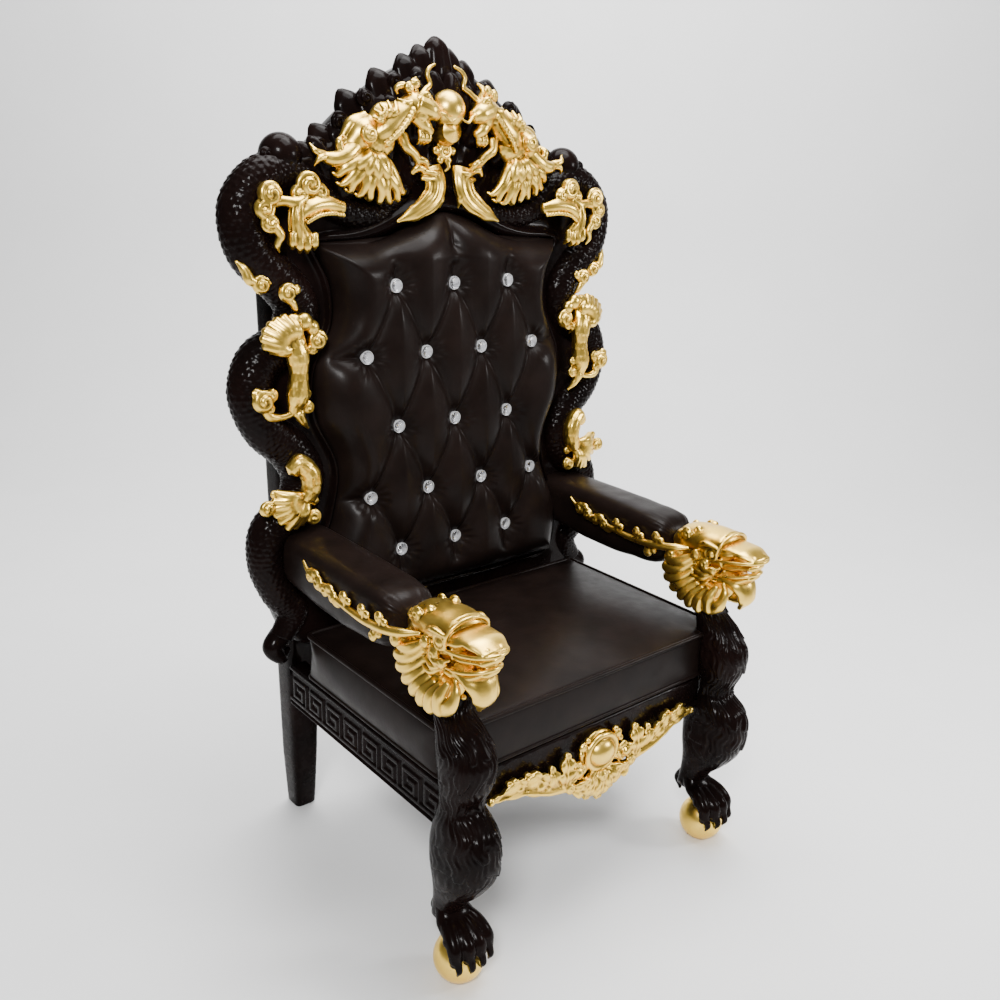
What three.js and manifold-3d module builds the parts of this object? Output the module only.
// A high-backed ceremonial throne: a black lacquered carved frame with gilded dragons, a tufted
// leather back, a leather box seat and padded arms that end in gilded dragon heads.
// Millimetres, +Z up. The sitter faces -Y. The origin is on the floor under the middle of the throne.
import * as THREE from "three";
import { mergeVertices } from "three/addons/utils/BufferGeometryUtils.js";
import Module from "manifold-3d";

const wasm = await Module();
wasm.setup();

// Driving dimensions
const APEX_HEIGHT = 1747; // top of the crest, above the floor along the raked back
const BACK_FOOT_Y = 227; // where the plane of the frame's front meets the floor
const BACK_RAKE = 0.039; // lean of the back, radians
const FRAME_THICK = 60; // carved plate
const GAP = 0.4; // air between pieces that touch

const SEAT_TOP = 530; // welt round the cushion's top
const SEAT_CROWN = 20; // rise of the cushion above its welt
const SEAT_BASE = 422; // underside of the cushion, top of the rails
const SEAT_FRONT_Y = -290;
const SEAT_BACK_Y = 222;
const SEAT_HALF_WIDTH = 392;
const RAIL_BOTTOM = 325; // side and rear rails

const LEG_X = 360; // front legs, arms and dragon heads share this line
const BALL_RADIUS = 51;
const BALL_Y = -302;
const BALL_Z = 47; // the ball stands on a small flat
const LEG_TOP = 612;

const POST_X = 345; // rear posts: leg below, stile above
const POST_SIDE = 76;
const POST_TOP = 1285;

const ARM_HALF_WIDTH = 62;
const ARM_TOP = 754;
const ARM_BOTTOM = 634;
const ARM_FRONT_Y = -156;

const PAD_EDGE = -12; // the pad's border stands this far in front of the carved plate
const PAD_FACE = -40; // and its middle this far
const PAD_BOTTOM = 562;
const BUTTON_PITCH = 150;
const BUTTON_RADIUS = 15;
const BUTTON_ROWS = [
  { z: 1250, count: 3 },
  { z: 1108, count: 4 },
  { z: 954, count: 3 },
  { z: 806, count: 4 },
  { z: 675, count: 3 },
];

const BODY_RADIUS = 43; // the dragon that winds down each side of the frame
const ORB_RADIUS = 42;
const PEARL_RADIUS = 40;

// Finishes
const finish = (color, roughness, metalness) =>
  new THREE.MeshStandardMaterial({ color, roughness, metalness });
const LACQUER = finish(0x140c0c, 0.2, 0);
const GILDING = finish(0xc99a3c, 0.3, 1);
const LEATHER = finish(0x1d1312, 0.35, 0);
const CRYSTAL = finish(0xdfe3ea, 0.05, 0);

// Solids

// A closed geometry as a solid that can be joined and cut.
function solidOf(geometry) {
  const bare = new THREE.BufferGeometry();
  const flat = geometry.index ? geometry.toNonIndexed() : geometry;
  bare.setAttribute("position", flat.getAttribute("position").clone());
  const merged = mergeVertices(bare, 1e-3);
  const kept = [];
  const index = merged.index.array;
  for (let i = 0; i < index.length; i += 3) {
    const [a, b, c] = index.slice(i, i + 3);
    if (a !== b && b !== c && c !== a) kept.push(a, b, c);
  }
  const vertProperties = merged.attributes.position.array;
  return new wasm.Manifold(
    new wasm.Mesh({ numProp: 3, vertProperties, triVerts: new Uint32Array(kept) }),
  );
}

// A solid as a three.js geometry.
function geometryOf(solid) {
  const mesh = solid.getMesh();
  const geometry = new THREE.BufferGeometry();
  const position = new Float32Array(mesh.numVert * 3);
  for (let i = 0; i < mesh.numVert; i++) {
    const start = i * mesh.numProp;
    position.set(mesh.vertProperties.subarray(start, start + 3), i * 3);
  }
  geometry.setAttribute("position", new THREE.BufferAttribute(position, 3));
  geometry.setIndex(new THREE.BufferAttribute(mesh.triVerts, 1));
  geometry.computeVertexNormals();
  return geometry;
}

const fuse = (solids) => solids.reduce((whole, solid) => whole.add(solid));
const moved = (solid, x, y, z) => solidOf(geometryOf(solid).translate(x, y, z));
const mirrored = (solid) => {
  const geometry = geometryOf(solid).scale(-1, 1, 1);
  const index = geometry.index.array;
  for (let i = 0; i < index.length; i += 3) {
    [index[i + 1], index[i + 2]] = [index[i + 2], index[i + 1]];
  }
  return solidOf(geometry);
};
const bothSides = (solid) => solid.add(mirrored(solid));

// The value at t (0 to 1) of a smooth run through evenly spaced values.
function along(values, t) {
  const place = t * (values.length - 1);
  const i = Math.min(values.length - 2, Math.floor(place));
  const share = place - i;
  const smooth = share * share * (3 - 2 * share);
  return values[i] + (values[i + 1] - values[i]) * smooth;
}

// A closed skin over rings of points, all of one count, with a fan at each end.
function loft(rings) {
  const count = rings[0].length;
  const middles = [rings[0], rings.at(-1)].map((ring) =>
    ring.reduce((sum, p) => sum.add(p), new THREE.Vector3()).divideScalar(count),
  );
  const points = [...rings.flat(), ...middles];
  const index = [];
  const first = points.length - 2;
  const last = points.length - 1;
  const top = (rings.length - 1) * count;
  for (let j = 0; j < count; j++) {
    const k = (j + 1) % count;
    for (let i = 0; i < rings.length - 1; i++) {
      const a = i * count + j;
      const b = i * count + k;
      index.push(a, b, b + count, a, b + count, a + count);
    }
    index.push(first, k, j, last, top + j, top + k);
  }
  const geometry = new THREE.BufferGeometry().setFromPoints(points);
  geometry.setIndex(index);
  const solid = solidOf(geometry);
  if (solid.volume() > 0) return solid;
  return solidOf(geometry.setIndex(index.reverse()));
}

// A tapered limb along a smooth path. Its section is an oval: half widths across the facing
// direction, half depths along it, each a run of values from root to tip.
function limb({ path, widths, depths = widths, facing, steps = 4, sides = 5, grow = 0 }) {
  const curve = new THREE.CatmullRomCurve3(path, false, "centripetal");
  const rings = [];
  for (let i = 0; i <= steps; i++) {
    const t = i / steps;
    const centre = curve.getPoint(t);
    const tangent = curve.getTangent(t);
    const side = new THREE.Vector3().crossVectors(facing, tangent).normalize();
    const front = new THREE.Vector3().crossVectors(tangent, side);
    const wide = along(widths, t) + grow;
    const deep = along(depths, t) + grow;
    const ring = [];
    for (let j = 0; j < sides; j++) {
      const turn = (2 * Math.PI * j) / sides;
      const p = centre.clone().addScaledVector(side, wide * Math.cos(turn));
      ring.push(p.addScaledVector(front, deep * Math.sin(turn)));
    }
    rings.push(ring);
  }
  return loft(rings);
}

// An ellipsoid.
function bead(x, y, z, rx, ry = rx, rz = rx, around = 6, down = 4) {
  const geometry = new THREE.SphereGeometry(1, around, down);
  return solidOf(geometry.rotateX(Math.PI / 2).scale(rx, ry, rz).translate(x, y, z));
}

// The corners of an outline, each once.
function cornersOf(outline, curveSegments) {
  const points = outline.getPoints(curveSegments);
  return points.filter((p, i) => p.distanceTo(points[(i + 1) % points.length]) > 0.1);
}

// A closed outline in the X-Z plane, carried back along +Y from front to back.
function slab(outline, front, back, bevel = 0, curveSegments = 3) {
  const shape = new THREE.Shape(cornersOf(outline, curveSegments));
  const geometry = new THREE.ExtrudeGeometry(shape, {
    depth: back - front - 2 * bevel,
    bevelEnabled: bevel > 0,
    bevelThickness: bevel,
    bevelSize: bevel,
    bevelOffset: -bevel,
    bevelSegments: 1,
    curveSegments,
  });
  // The extrusion runs along its own +Z, so its plane is stood up and its depth runs back.
  const solid = solidOf(geometry.rotateX(Math.PI / 2).translate(0, back - bevel, 0));
  return solid;
}

// Points of the back, in its own leaning frame: across, up, and depth behind the plate's front.
const on = (x, z, depth = 0) => new THREE.Vector3(x, depth, z);
const FRONT = new THREE.Vector3(0, -1, 0);
const OUT = new THREE.Vector3(1, 0, 0);

// The back frame

// Outline of the leather pad: an ogee top, small ears, and scalloped sides.
function padOutline(grow) {
  const side = [
    [318, 1334], [282, 1262], [278, 1190], [328, 1092], [326, 990], [282, 880], [298, 770], [330, 690],
  ].map(([x, z]) => new THREE.Vector2(x + grow, z));
  const corner = new THREE.Vector2(316 + grow, PAD_BOTTOM - grow);
  const outline = new THREE.Shape();
  outline.moveTo(0, 1396 + grow);
  outline.bezierCurveTo(90, 1396 + grow, 130, 1336 + grow, 230, 1336 + grow);
  outline.quadraticCurveTo(280, 1336 + grow, 318 + grow, 1334 + grow);
  outline.splineThru(side.slice(1));
  outline.lineTo(corner.x, corner.y);
  outline.lineTo(-corner.x, corner.y);
  outline.lineTo(-side.at(-1).x, side.at(-1).y);
  outline.splineThru(side.slice(0, -1).reverse().map((p) => new THREE.Vector2(-p.x, p.y)));
  outline.lineTo(-318 - grow, 1334 + grow);
  outline.quadraticCurveTo(-280, 1336 + grow, -230, 1336 + grow);
  outline.bezierCurveTo(-130, 1336 + grow, -90, 1396 + grow, 0, 1396 + grow);
  return outline;
}

// Tips of the crest's flames on one side, from the apex outwards.
const FLAME_TIPS = [
  [0, APEX_HEIGHT], [40, 1727], [80, 1706], [148, 1673], [224, 1628], [288, 1561],
];

// Line of the dragon's body on the right: along the pad's top, round the shoulder, then winding down.
const BODY_PATH = [
  [70, 1428], [160, 1392], [250, 1400], [325, 1448], [400, 1466], [455, 1410], [446, 1326],
  [388, 1268], [352, 1214], [374, 1150], [440, 1112], [462, 1052], [436, 978], [384, 926],
  [356, 868], [376, 806], [438, 760], [449, 690], [424, 620], [396, 572], [424, 520],
].map(([x, z]) => on(x, z, 12));

// Outline of the carved plate: it follows the bodies up the sides to the shoulders, with a flaming
// gable above.
function plateOutline() {
  const half = [];
  for (const [i, [x, z]] of FLAME_TIPS.entries()) {
    half.push([x - 9, z - 9], [x, z], [x + 10, z - 14]);
    const next = FLAME_TIPS[i + 1] ?? [332, 1506];
    half.push([(x + next[0]) / 2 + 4, (z + next[1]) / 2 - 14]);
  }
  half.shift(); // the apex has no inner shoulder
  half.push([345, 1480], [420, 1474], [452, 1420]);
  for (const { x, z } of BODY_PATH.slice(6)) half.push([x, z]);
  half.push([380, 470]);
  const outline = new THREE.Shape();
  outline.moveTo(...half[0]);
  for (const [x, z] of half.slice(1)) outline.lineTo(x, z);
  for (const [x, z] of half.slice(1).reverse()) outline.lineTo(-x, z);
  outline.closePath();
  return outline;
}

function dragonBody() {
  const widths = [14, 30, 36, BODY_RADIUS, BODY_RADIUS, BODY_RADIUS, BODY_RADIUS, BODY_RADIUS, 40, 36, 26];
  return limb({ path: BODY_PATH, widths, facing: FRONT, steps: 24, sides: 6 });
}

// One raised flame lying on the gable behind its tip.
function flame([x, z]) {
  const lean = 0.45 + x / 500;
  const root = on(x - 44 * lean, z - 66, 2);
  const waist = on(x - 18 * lean, z - 40, -10);
  return limb({
    path: [root, waist, on(x, z - 16, 12)],
    widths: [10, 22, 8],
    depths: [8, 16, 8],
    facing: FRONT,
    steps: 2,
    sides: 4,
  });
}

function backFrame() {
  const plate = slab(plateOutline(), 0, FRAME_THICK);
  const flames = FLAME_TIPS.slice(1).map(flame);
  const orb = bead(366, 20, 1500, ORB_RADIUS, ORB_RADIUS, ORB_RADIUS, 8, 5);
  const tail = bead(432, 22, 512, 30, 30, 30);
  const carving = fuse([dragonBody(), orb, tail, ...flames]);
  const opening = slab(padOutline(GAP), -200, 200, 0, 2);
  return plate.add(bothSides(carving)).subtract(opening);
}

// The pad: a flat-backed cushion whose face swells towards the middle.
function backPad() {
  const outline = cornersOf(padOutline(-GAP), 2);
  const middle = new THREE.Vector2(0, 950);
  const layer = (depth, share) =>
    outline.map((p) => {
      const q = middle.clone().lerp(p, share);
      return on(q.x, q.y, depth);
    });
  return loft([
    layer(FRAME_THICK - 2, 1),
    layer(PAD_EDGE, 1),
    layer((PAD_EDGE + 2 * PAD_FACE) / 3, 0.94),
    layer(PAD_FACE, 0.84),
  ]);
}

// A cut-glass button that sits just in front of the pad's face.
function button(x, z) {
  const profile = [
    [0, 0], [BUTTON_RADIUS, 0], [BUTTON_RADIUS * 0.6, 6], [0, 6],
  ].map(([r, h]) => new THREE.Vector2(r, h));
  const geometry = new THREE.LatheGeometry(profile, 5).rotateX(Math.PI);
  return solidOf(geometry.translate(x, PAD_FACE - GAP, z));
}

// Gilded carving on the back

const curl = (x, z, radius, depth = -14) => bead(x, depth, z, radius, radius * 0.7, radius);
const strand = (points, widths, depths = widths, steps = 4) =>
  limb({ path: points.map(([x, z, d = -14]) => on(x, z, d)), widths, depths, facing: FRONT, steps });

// The outline of a tuft: a root, then the tips of its locks with notches between them.
function tuftOutline(roots, tips, notch) {
  const middle = new THREE.Vector2();
  for (const [x, z] of roots) middle.add(new THREE.Vector2(x, z).divideScalar(roots.length));
  const points = roots.map(([x, z]) => new THREE.Vector2(x, z));
  tips.forEach(([x, z], i) => {
    const tip = new THREE.Vector2(x, z);
    if (i > 0) {
      const before = new THREE.Vector2(...tips[i - 1]);
      const halfway = before.add(tip).divideScalar(2);
      points.push(halfway.lerp(middle, notch));
    }
    points.push(tip);
  });
  return new THREE.Shape(points);
}

// A tuft of locks lying on the back, its tips spread along a line.
function fan(roots, from, to, count, front, back) {
  const tips = [];
  for (let i = 0; i < count; i++) {
    const share = i / (count - 1);
    const bow = 10 * Math.sin(Math.PI * share);
    tips.push([from[0] + (to[0] - from[0]) * share, from[1] + (to[1] - from[1]) * share - bow]);
  }
  return slab(tuftOutline(roots, tips, 0.3), front, back);
}

function crestDragon() {
  return fuse([
    strand(
      [[256, 1484], [204, 1542, -20], [140, 1590, -24], [92, 1606, -32], [46, 1572, -44]],
      [14, 32, 30, 34, 10], [12, 24, 26, 28, 12], 7,
    ), // body, neck and head
    strand([[92, 1580, -34], [66, 1556, -40], [48, 1544, -36]], [14, 12, 5], [12, 10, 5], 2), // jaw
    strand([[78, 1626], [44, 1648], [20, 1664], [14, 1696]], [7, 6, 5, 4], [7, 6, 5, 4], 3), // feeler
    strand([[214, 1506, -16], [256, 1478, -20], [292, 1500]], [15, 15, 7], [13, 13, 7], 3), // forearm
    fan([[206, 1520], [140, 1530]], [112, 1426], [238, 1428], 5, -32, -6), // mane
  ]);
}

function crestPearl() {
  const pearl = bead(0, -22, 1598, PEARL_RADIUS, 30, PEARL_RADIUS, 8, 4);
  return fuse([pearl, curl(0, 1554, 27, -20), curl(0, 1519, 23, -14)]);
}

function crestRibbon() {
  const leaf = [[24, 1488], [44, 1450, -20], [50, 1416, -22], [104, 1380]];
  return strand(leaf, [9, 19, 16, 4], [8, 13, 12, 4], 5);
}

function shoulderClaw() {
  const paw = [
    [404, 1326, -32], [430, 1362, -36], [444, 1400, -36],
    [392, 1424, -36], [366, 1398, -40], [354, 1338, -34],
  ];
  return fuse([
    strand(paw, [5, 20, 24, 17, 20, 31], [5, 15, 16, 14, 15, 14], 8),
    strand([[366, 1396, -38], [318, 1414, -40], [254, 1394, -30]], [12, 16, 13], [11, 12, 11], 3),
    curl(326, 1452, 24, -34),
  ]);
}

function sideCurls() {
  return fuse([
    curl(392, 1247, 20, -34),
    strand([[392, 1242, -34], [386, 1228, -34], [374, 1211, -30]], [9, 9, 4], [9, 9, 4], 3),
  ]);
}

function edgeCurls() {
  return fuse([
    curl(441, 1264, 20, -14),
    strand([[446, 1264, -14], [466, 1284, -14], [480, 1306, -12]], [12, 11, 4], [11, 11, 4], 3),
  ]);
}

function sideClaw() {
  const forearm = [
    [440, 1150, -36], [402, 1170, -42], [385, 1124, -44],
    [385, 1078, -42], [388, 1030, -40], [362, 976, -34],
  ];
  return fuse([
    strand(forearm, [16, 28, 21, 20, 19, 3], [10, 16, 17, 16, 14, 3], 7),
    strand([[388, 1014, -40], [422, 1008, -40], [454, 1034, -40]], [8, 9, 24], [8, 9, 14], 3),
    curl(336, 1153, 26, -40),
  ]);
}

function lowerClaw() {
  const stem = [[404, 890, -34], [378, 902, -40], [366, 866, -42], [376, 826, -42]];
  return fuse([
    strand(stem, [14, 19, 19, 24], [12, 15, 15, 14], 4),
    fan([[412, 836], [358, 836]], [350, 786], [448, 806], 5, -54, -28),
    curl(458, 822, 20, -38),
  ]);
}

// Seat, rails and posts

// Plan of the cushion: a rectangle with its front corners cut out for the legs.
function seatPlan(inset, side = SEAT_HALF_WIDTH) {
  const notchX = 298;
  const notchY = -216;
  const corners = [
    [notchX, SEAT_FRONT_Y], [notchX, notchY], [side, notchY], [side, SEAT_BACK_Y],
  ];
  const half = corners.map(([x, y]) => new THREE.Vector2(x - inset, y + (y < 0 ? inset : -inset)));
  const other = half.map((p) => new THREE.Vector2(-p.x, p.y)).reverse();
  return [...half, ...other];
}

function seatCushion() {
  const layer = (z, inset) => seatPlan(inset).map((p) => new THREE.Vector3(p.x, p.y, z));
  return loft([
    layer(SEAT_BASE + GAP, 5),
    layer(SEAT_BASE + 8, 0),
    layer(SEAT_TOP - 6, 0),
    layer(SEAT_TOP, 6),
    layer(SEAT_TOP + SEAT_CROWN * 0.55, 60),
    layer(SEAT_TOP + SEAT_CROWN, 150),
  ]);
}

// Front rail: its lower edge drops in an ogee to a point at the middle.
function frontRail() {
  const half = 318;
  const outline = new THREE.Shape();
  outline.moveTo(-half, SEAT_BASE);
  outline.lineTo(half, SEAT_BASE);
  outline.lineTo(half, 346);
  outline.lineTo(210, 342);
  outline.bezierCurveTo(150, 336, 120, 268, 0, 248);
  outline.bezierCurveTo(-120, 268, -150, 336, -210, 342);
  outline.lineTo(-half, 346);
  outline.closePath();
  return slab(outline, SEAT_FRONT_Y + 4, SEAT_FRONT_Y + 36);
}

function bar(x0, x1, y0, y1, z0, z1) {
  const geometry = new THREE.BoxGeometry(x1 - x0, y1 - y0, z1 - z0);
  return solidOf(geometry.translate((x0 + x1) / 2, (y0 + y1) / 2, (z0 + z1) / 2));
}

const rakeAt = (z) => BACK_FOOT_Y + Math.tan(BACK_RAKE) * z;
const plateBack = (z) => rakeAt(z) + FRAME_THICK / Math.cos(BACK_RAKE) + GAP;

// A rear post: a square tapering leg that becomes the stile behind the carved plate.
function rearPost() {
  const section = (x, y, z, wide, deep) => {
    const chamfer = 9;
    const corners = [];
    for (const [sx, sy] of [[1, 1], [-1, 1], [-1, -1], [1, -1]]) {
      const long = new THREE.Vector3(x + (sx * wide) / 2, y + (sy * (deep - 2 * chamfer)) / 2, z);
      const short = new THREE.Vector3(x + (sx * (wide - 2 * chamfer)) / 2, y + (sy * deep) / 2, z);
      corners.push(...(sx * sy > 0 ? [long, short] : [short, long]));
    }
    return corners;
  };
  const stile = (z) => section(POST_X, plateBack(z) + POST_SIDE / 2, z, POST_SIDE, POST_SIDE);
  return loft([
    section(328, 378, 0, 54, 58),
    section(336, 362, 150, 66, 68),
    section(344, plateBack(330) + POST_SIDE / 2, 330, POST_SIDE, POST_SIDE),
    stile(470),
    stile(POST_TOP),
  ]);
}

// Front leg: an animal's leg in profile, two bulges over a narrow ankle, then a paw.

const LEG_HEIGHTS = [LEG_TOP, 572, 537, 490, 440, 388, 350, 305, 255, 210, 163, 118];
const LEG_FRONT = [-278, -292, -332, -364, -358, -336, -376, -388, -378, -348, -306, -288];
const LEG_REAR = [-230, -236, -244, -252, -258, -260, -246, -236, -236, -240, -238, -230];
const LEG_HALF_WIDTH = [33, 36, 42, 49, 46, 40, 48, 53, 51, 42, 32, 27];

function frontLeg(grow = 0) {
  const sides = 8;
  const rings = LEG_HEIGHTS.map((z, i) => {
    const middle = (LEG_FRONT[i] + LEG_REAR[i]) / 2;
    const deep = (LEG_REAR[i] - LEG_FRONT[i]) / 2 + grow;
    const wide = LEG_HALF_WIDTH[i] + grow;
    return Array.from({ length: sides }, (_, j) => {
      const turn = (2 * Math.PI * j) / sides;
      return new THREE.Vector3(LEG_X + wide * Math.cos(turn), middle + deep * Math.sin(turn), z);
    });
  });
  return loft(rings);
}

// Four toes arch over the ball and a spur grips it behind.
function paw() {
  const toes = [-1.5, -0.5, 0.5, 1.5].map((place) => {
    const spread = place * 25;
    const reach = -352 + Math.abs(place) * 9;
    return limb({
      path: [
        new THREE.Vector3(LEG_X + spread * 0.4, -266, 128),
        new THREE.Vector3(LEG_X + spread * 0.85, -318, 112),
        new THREE.Vector3(LEG_X + spread, reach, 92),
        new THREE.Vector3(LEG_X + spread, reach - 2, 56),
      ],
      widths: [20, 16, 15, 9],
      facing: OUT,
      steps: 3,
      sides: 4,
    });
  });
  const spur = limb({
    path: [
      new THREE.Vector3(LEG_X, -250, 130),
      new THREE.Vector3(LEG_X, -238, 92),
      new THREE.Vector3(LEG_X, -246, 62),
    ],
    widths: [20, 15, 7],
    facing: OUT,
    steps: 2,
    sides: 4,
  });
  return fuse([...toes, spur]);
}

const ball = (grow = 0) => {
  const radius = BALL_RADIUS + grow;
  const sphere = bead(LEG_X, BALL_Y, BALL_Z, radius, radius, radius, 8, 6);
  return sphere.subtract(bar(LEG_X - 100, LEG_X + 100, BALL_Y - 100, BALL_Y + 100, -100, 0));
};

// Arms and their dragon heads

// A padded arm: round-topped section from the back to behind the dragon's head.
function arm(grow = 0) {
  const stations = [
    { y: 262, top: ARM_TOP + 4, bottom: ARM_BOTTOM + 18 },
    { y: 120, top: ARM_TOP + 4, bottom: ARM_BOTTOM - 2 },
    { y: 0, top: ARM_TOP, bottom: ARM_BOTTOM - 6 },
    { y: ARM_FRONT_Y + 8, top: ARM_TOP - 4, bottom: ARM_BOTTOM + 8 },
    { y: ARM_FRONT_Y, top: ARM_TOP - 10, bottom: ARM_BOTTOM + 18 },
  ];
  const sides = 8;
  const rings = stations.map(({ y, top, bottom }) => {
    const middle = (top + bottom) / 2;
    const tall = (top - bottom) / 2 + grow;
    const wide = ARM_HALF_WIDTH + grow;
    return Array.from({ length: sides }, (_, j) => {
      const turn = (2 * Math.PI * (j + 0.5)) / sides;
      const squarer = (v) => Math.sign(v) * Math.abs(v) ** 0.6;
      const across = LEG_X + 6 + wide * squarer(Math.cos(turn));
      return new THREE.Vector3(across, y - (y < 0 ? grow : 0), middle + tall * squarer(Math.sin(turn)));
    });
  });
  return loft(rings);
}

const UP = new THREE.Vector3(0, 0, 1);
const headLimb = (points, widths, depths, steps = 4, sides = 6, facing = UP) =>
  limb({ path: points.map((p) => new THREE.Vector3(...p)), widths, depths, facing, steps, sides });

const HEAD_MIDDLE = new THREE.Vector3(0, -270, 680);
const HEAD_SCALE = 0.88;

// A dragon's head with open jaws, a smooth brow and a mane of curling locks.
function dragonHead() {
  const rim = [[-140, 680], [-142, 642], [-168, 608], [-208, 584], [-254, 570], [-298, 578]];
  const beard = [[0, -346, 668], [0, -360, 632], [0, -346, 596]];
  const mane = tuftOutline([[-322, 640], [-292, 722], [-164, 742], [-140, 716]], rim, 0.22);
  const turned = geometryOf(slab(mane, -60, 60)).rotateZ(Math.PI / 2);
  const beside = fuse([
    bead(46, -298, 728, 14, 16, 14, 5, 4), // eye
    headLimb([[40, -218, 740], [44, -200, 760], [42, -182, 768]], [15, 14, 8], [12, 11, 7], 2, 4), // ear
  ]);
  const head = fuse([
    solidOf(turned),
    headLimb([[0, -158, 726], [0, -244, 746], [0, -314, 740]], [50, 56, 46], [22, 30, 23], 3, 6), // brow
    headLimb([[0, -264, 722], [0, -340, 734], [0, -390, 734]], [48, 44, 34], [22, 22, 15], 3, 6), // snout
    headLimb([[0, -250, 662], [0, -328, 662], [0, -382, 682]], [42, 39, 27], [19, 17, 13], 3, 6), // jaw
    headLimb(beard, [34, 28, 6], [24, 18, 6], 2, 5, FRONT),
    bothSides(beside),
  ]);
  const { y, z } = HEAD_MIDDLE;
  const shaped = geometryOf(head).translate(0, -y, -z).scale(HEAD_SCALE, HEAD_SCALE, HEAD_SCALE);
  return solidOf(shaped.translate(LEG_X, y, z));
}

// A sprig along one face of an arm: a stem with curled leaves and buds.
function armSprig(face) {
  const x = LEG_X + 6 + face * (ARM_HALF_WIDTH + 6);
  const facing = new THREE.Vector3(face, 0, 0);
  const stemAt = [[150, 736], [110, 714], [60, 700], [0, 694], [-60, 692], [-148, 698]];
  const stem = limb({
    path: stemAt.map(([y, z]) => new THREE.Vector3(x, y, z)),
    widths: [4, 7, 7, 6, 6, 7],
    depths: [4, 5.5, 5.5, 5.5, 5.5, 5.5],
    facing,
    steps: 5,
    sides: 4,
  });
  const leaves = [[88, 712, 15], [20, 706, 15], [-58, 704, 14]];
  return fuse([stem, ...leaves.map(([y, z, r]) => bead(x, y, z, 8, r * 1.25, r, 4, 3))]);
}

// The gilded spray under the front rail: a boss between leafy scrolls.
function apronSpray() {
  const y = SEAT_FRONT_Y + 2;
  const leaf = (points, widths, depths, steps) =>
    limb({
      path: points.map(([x, z, d]) => new THREE.Vector3(x, y + d, z)),
      widths,
      depths,
      facing: FRONT,
      steps,
      sides: 4,
    });
  const side = fuse([
    leaf([[10, 286, -14], [60, 282, -16], [118, 312, -16], [190, 348, -12], [290, 352, -8]],
      [26, 24, 20, 16, 4], [11, 11, 10, 9, 4], 5),
    leaf([[92, 296, -18], [112, 340, -18], [104, 388, -10]], [20, 19, 3], [10, 9, 3], 2),
    leaf([[156, 330, -16], [186, 366, -16], [214, 384, -10]], [16, 15, 3], [9, 8, 3], 2),
  ]);
  const boss = bead(0, y - 16, 366, 40, 20, 44, 8, 5);
  const keel = leaf([[0, 330, -14], [0, 286, -18], [0, 242, -10]], [34, 40, 8], [12, 14, 6], 3);
  return fuse([boss, keel, bothSides(side)]);
}

// Assembly

const throne = new THREE.Group();
const back = new THREE.Group();
back.position.y = BACK_FOOT_Y;
back.rotation.x = -BACK_RAKE;
throne.add(back);

function place(group, name, solid, material, mirror = false) {
  const mesh = new THREE.Mesh(geometryOf(solid), material);
  mesh.name = name;
  if (mirror) mesh.scale.x = -1;
  group.add(mesh);
}

function placePair(group, name, solid, material) {
  place(group, name + "_right", solid, material);
  place(group, name + "_left", solid, material, true);
}

// The part of a solid that is left outside others, which may split it: the largest piece is kept.
function outside(solid, ...others) {
  const left = others.reduce((rest, other) => rest.subtract(other), solid);
  return left.decompose().reduce((best, piece) => (piece.volume() > best.volume() ? piece : best));
}

const frame = backFrame();
const frameFace = moved(frame, 0, -GAP, 0);
place(back, "back_frame", frame, LACQUER);
const pad = backPad();
place(back, "back_pad", pad, LEATHER);
let buttonNumber = 0;
for (const { z, count } of BUTTON_ROWS) {
  for (let i = 0; i < count; i++) {
    buttonNumber += 1;
    const x = (i - (count - 1) / 2) * BUTTON_PITCH;
    place(back, "back_button_" + buttonNumber, button(x, z), CRYSTAL);
  }
}

placePair(back, "crest_dragon", outside(crestDragon(), frameFace, frame), GILDING);
place(back, "crest_pearl", outside(crestPearl(), frameFace), GILDING);
placePair(back, "crest_ribbon", outside(crestRibbon(), frameFace), GILDING);
placePair(back, "shoulder_claw", outside(shoulderClaw(), frameFace), GILDING);
placePair(back, "side_curls", outside(sideCurls(), frameFace), GILDING);
placePair(back, "edge_curls", outside(edgeCurls(), frameFace), GILDING);
placePair(back, "side_claw", outside(sideClaw(), frameFace), GILDING);
placePair(back, "lower_claw", outside(lowerClaw(), frameFace), GILDING);

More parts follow.
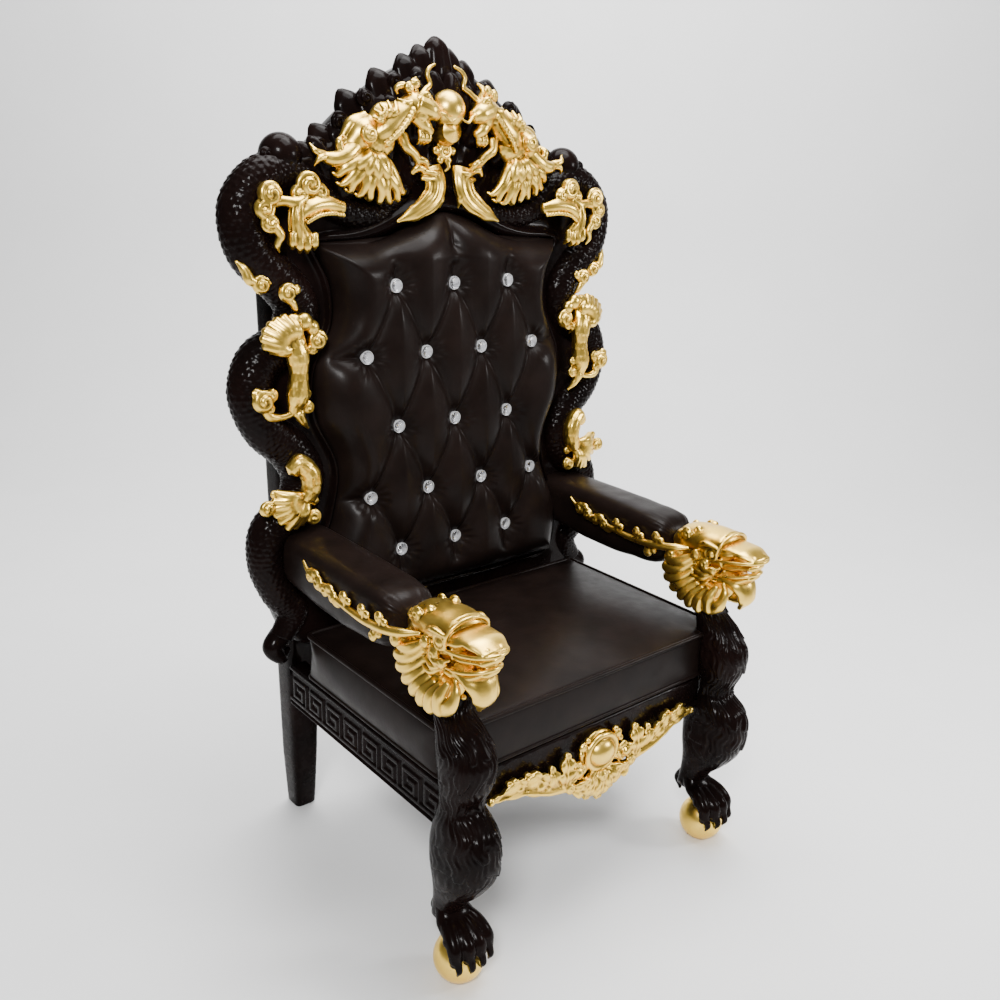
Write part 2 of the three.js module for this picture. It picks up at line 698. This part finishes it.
const leg = frontLeg();
const legRoom = frontLeg(GAP);
const legRooms = bothSides(legRoom);
const armRoom = arm(GAP);

const toWorld = new THREE.Matrix4().makeTranslation(0, BACK_FOOT_Y, 0);
toWorld.multiply(new THREE.Matrix4().makeRotationX(-BACK_RAKE));
const frameInPlace = solidOf(geometryOf(frameFace).applyMatrix4(toWorld));
const padInPlace = solidOf(geometryOf(moved(pad, 0, -GAP, 0)).applyMatrix4(toWorld));

placePair(throne, "front_leg", outside(leg.add(paw()), ball(GAP)), LACQUER);
placePair(throne, "ball_foot", ball(), GILDING);
placePair(throne, "rear_post", rearPost(), LACQUER);
placePair(throne, "arm", outside(arm(), frameInPlace, padInPlace), LEATHER);
placePair(throne, "arm_dragon_head", outside(dragonHead(), armRoom, legRoom), GILDING);
const head = dragonHead();
for (const [name, face] of [["outer", 1], ["inner", -1]]) {
  const sprig = outside(armSprig(face), armRoom, moved(head, 0, GAP, 0));
  placePair(throne, "arm_sprig_" + name, sprig, GILDING);
}

place(throne, "seat_cushion", outside(seatCushion(), legRooms, frameInPlace, padInPlace), LEATHER);
place(throne, "front_rail", outside(frontRail(), legRooms), LACQUER);
place(throne, "apron_spray", outside(apronSpray(), legRooms, moved(frontRail(), 0, -GAP, 0)), GILDING);
const railBack = plateBack(RAIL_BOTTOM) - GAP;
const sideRail = bar(350, SEAT_HALF_WIDTH - 2, -290, railBack - 4, RAIL_BOTTOM, SEAT_BASE);
placePair(throne, "side_rail", outside(sideRail, legRoom), LACQUER);
const postInner = POST_X - POST_SIDE / 2 - GAP - 1;
place(throne, "rear_rail", bar(-postInner, postInner, 318, 356, RAIL_BOTTOM, SEAT_BASE), LACQUER);
const boardFront = FRAME_THICK + GAP;
const board = bar(-postInner, postInner, boardFront, boardFront + 26, 430, POST_TOP - 30);
place(back, "back_board", board, LEATHER);

// The origin goes under the middle of the whole.
const reach = new THREE.Box3().setFromObject(throne);
throne.position.y = -(reach.min.y + reach.max.y) / 2;

export default throne;
